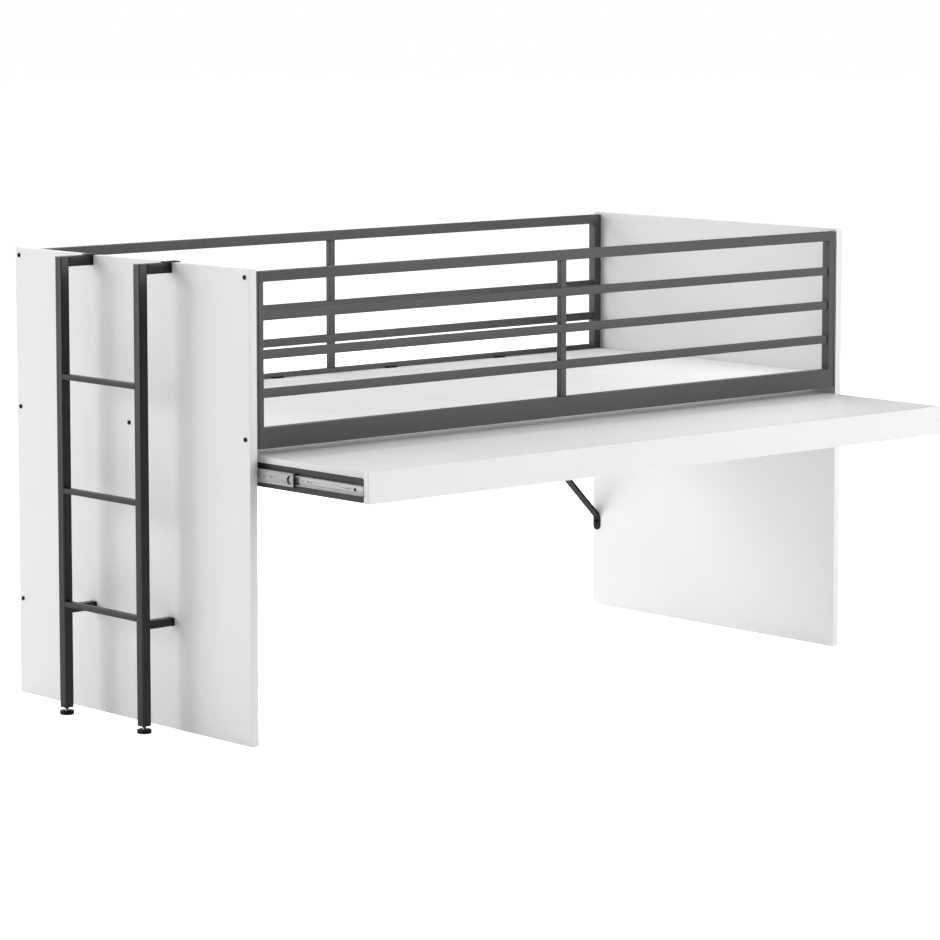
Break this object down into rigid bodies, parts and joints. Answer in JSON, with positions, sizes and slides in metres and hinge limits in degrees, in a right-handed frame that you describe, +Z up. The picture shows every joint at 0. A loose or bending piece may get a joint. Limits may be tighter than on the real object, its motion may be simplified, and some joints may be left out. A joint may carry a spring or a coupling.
{
  "type": "cabin bed",
  "caption": "Raised single bed between two flat end panels, with barred guards, a hook-on ladder and a desk under the platform that pulls out on ball-bearing slides.",
  "frame": {"origin": "on the floor, under the middle of the object's bounding box as pictured, desk pulled out", "axes": "+X along the bed to the end away from the ladder, +Y from the desk side to the back, +Z up"},
  "size_m": [2.1614, 1.344, 1.148],
  "materials": {
    "white_board": "white melamine face and edging, satin",
    "graphite_steel": "fine-textured graphite powder coat, satin",
    "black_steel": "black coated steel, satin",
    "zinc_steel": "zinc-plated steel, satin",
    "black_plastic": "moulded plastic, fine grain"
  },
  "bodies": {
    "bed_frame": {"left_panel": "white_board", "right_panel": "white_board", "front_guard_top_rail": "graphite_steel", "front_guard_bars": "graphite_steel", "front_guard_end_posts": "graphite_steel", "front_side_rail": "graphite_steel", "rear_guard_top_rail": "graphite_steel", "rear_guard_bars": "graphite_steel", "rear_guard_end_posts": "graphite_steel", "rear_side_rail": "graphite_steel", "guard_mid_posts": "graphite_steel", "board_ledges": "graphite_steel", "guard_end_bars": "graphite_steel", "rail_end_plugs": "black_plastic", "centre_beam": "graphite_steel", "platform_board_1": "white_board", "platform_board_2": "white_board", "platform_board_3": "white_board", "platform_board_4": "white_board", "platform_board_5": "white_board", "board_clips": "black_plastic", "left_brace": "black_steel", "right_brace": "black_steel", "brace_rail_screws": "black_steel", "left_panel_bolts": "black_steel", "right_panel_bolts": "black_steel", "hex_nuts": "black_steel", "left_slide_outer": "zinc_steel", "right_slide_outer": "zinc_steel", "slide_panel_screws": "zinc_steel"},
    "desk": {"desktop": "white_board", "desk_apron": "white_board", "desk_left_rail": "graphite_steel", "desk_right_rail": "graphite_steel", "desk_rear_beam": "graphite_steel", "desk_screws": "zinc_steel", "left_slide_inner": "zinc_steel", "right_slide_inner": "zinc_steel", "slide_desk_screws": "black_steel"},
    "left_middle_member": {"left_slide_middle": "zinc_steel", "left_slide_bumper": "black_plastic"},
    "right_middle_member": {"right_slide_middle": "zinc_steel", "right_slide_bumper": "black_plastic"},
    "left_outer_cage": {"left_outer_ball_cage": "zinc_steel"},
    "right_outer_cage": {"right_outer_ball_cage": "zinc_steel"},
    "left_inner_cage": {"left_inner_ball_cage": "zinc_steel"},
    "right_inner_cage": {"right_inner_ball_cage": "zinc_steel"},
    "ladder": {"ladder_left_stile": "graphite_steel", "ladder_right_stile": "graphite_steel", "ladder_rungs": "graphite_steel", "ladder_top_arms": "graphite_steel", "ladder_stand_offs": "graphite_steel", "ladder_hook_straps": "black_steel", "ladder_end_caps": "black_plastic", "ladder_foot_inserts": "black_plastic"},
    "left_foot": {"ladder_left_foot": "black_plastic", "left_foot_stem": "zinc_steel"},
    "right_foot": {"ladder_right_foot": "black_plastic", "right_foot_stem": "zinc_steel"}
  },
  "joints": [
    {"name": "desk_slide", "type": "slide", "parent": "bed_frame", "child": "desk", "axis": [0, -1, 0], "range_m": [-0.394, 0.056]},
    {"name": "left_middle_slide", "type": "slide", "parent": "bed_frame", "child": "left_middle_member", "axis": [0, -1, 0], "range_m": [-0.197, 0.028]},
    {"name": "left_outer_cage_slide", "type": "slide", "parent": "bed_frame", "child": "left_outer_cage", "axis": [0, -1, 0], "range_m": [-0.0985, 0.014]},
    {"name": "left_inner_cage_slide", "type": "slide", "parent": "bed_frame", "child": "left_inner_cage", "axis": [0, -1, 0], "range_m": [-0.2955, 0.042]},
    {"name": "right_middle_slide", "type": "slide", "parent": "bed_frame", "child": "right_middle_member", "axis": [0, -1, 0], "range_m": [-0.197, 0.028]},
    {"name": "right_outer_cage_slide", "type": "slide", "parent": "bed_frame", "child": "right_outer_cage", "axis": [0, -1, 0], "range_m": [-0.0985, 0.014]},
    {"name": "right_inner_cage_slide", "type": "slide", "parent": "bed_frame", "child": "right_inner_cage", "axis": [0, -1, 0], "range_m": [-0.2955, 0.042]},
    {"name": "ladder_lift", "type": "slide", "parent": "bed_frame", "child": "ladder", "axis": [0, 0, 1], "range_m": [0, 0.045]},
    {"name": "right_foot_turn", "type": "hinge", "parent": "ladder", "child": "right_foot", "pos_m": [-1.06275, 0.0325, 0], "axis": [0, 0, 1], "continuous": true},
    {"name": "left_foot_turn", "type": "hinge", "parent": "ladder", "child": "left_foot", "pos_m": [-1.06275, 0.3515, 0], "axis": [0, 0, 1], "continuous": true}
  ],
  "couplings": [
    {"joint": "left_middle_slide", "follows": "desk_slide", "ratio": 0.5},
    {"joint": "left_outer_cage_slide", "follows": "desk_slide", "ratio": 0.25},
    {"joint": "left_inner_cage_slide", "follows": "desk_slide", "ratio": 0.75},
    {"joint": "right_middle_slide", "follows": "desk_slide", "ratio": 0.5},
    {"joint": "right_outer_cage_slide", "follows": "desk_slide", "ratio": 0.25},
    {"joint": "right_inner_cage_slide", "follows": "desk_slide", "ratio": 0.75}
  ]
}
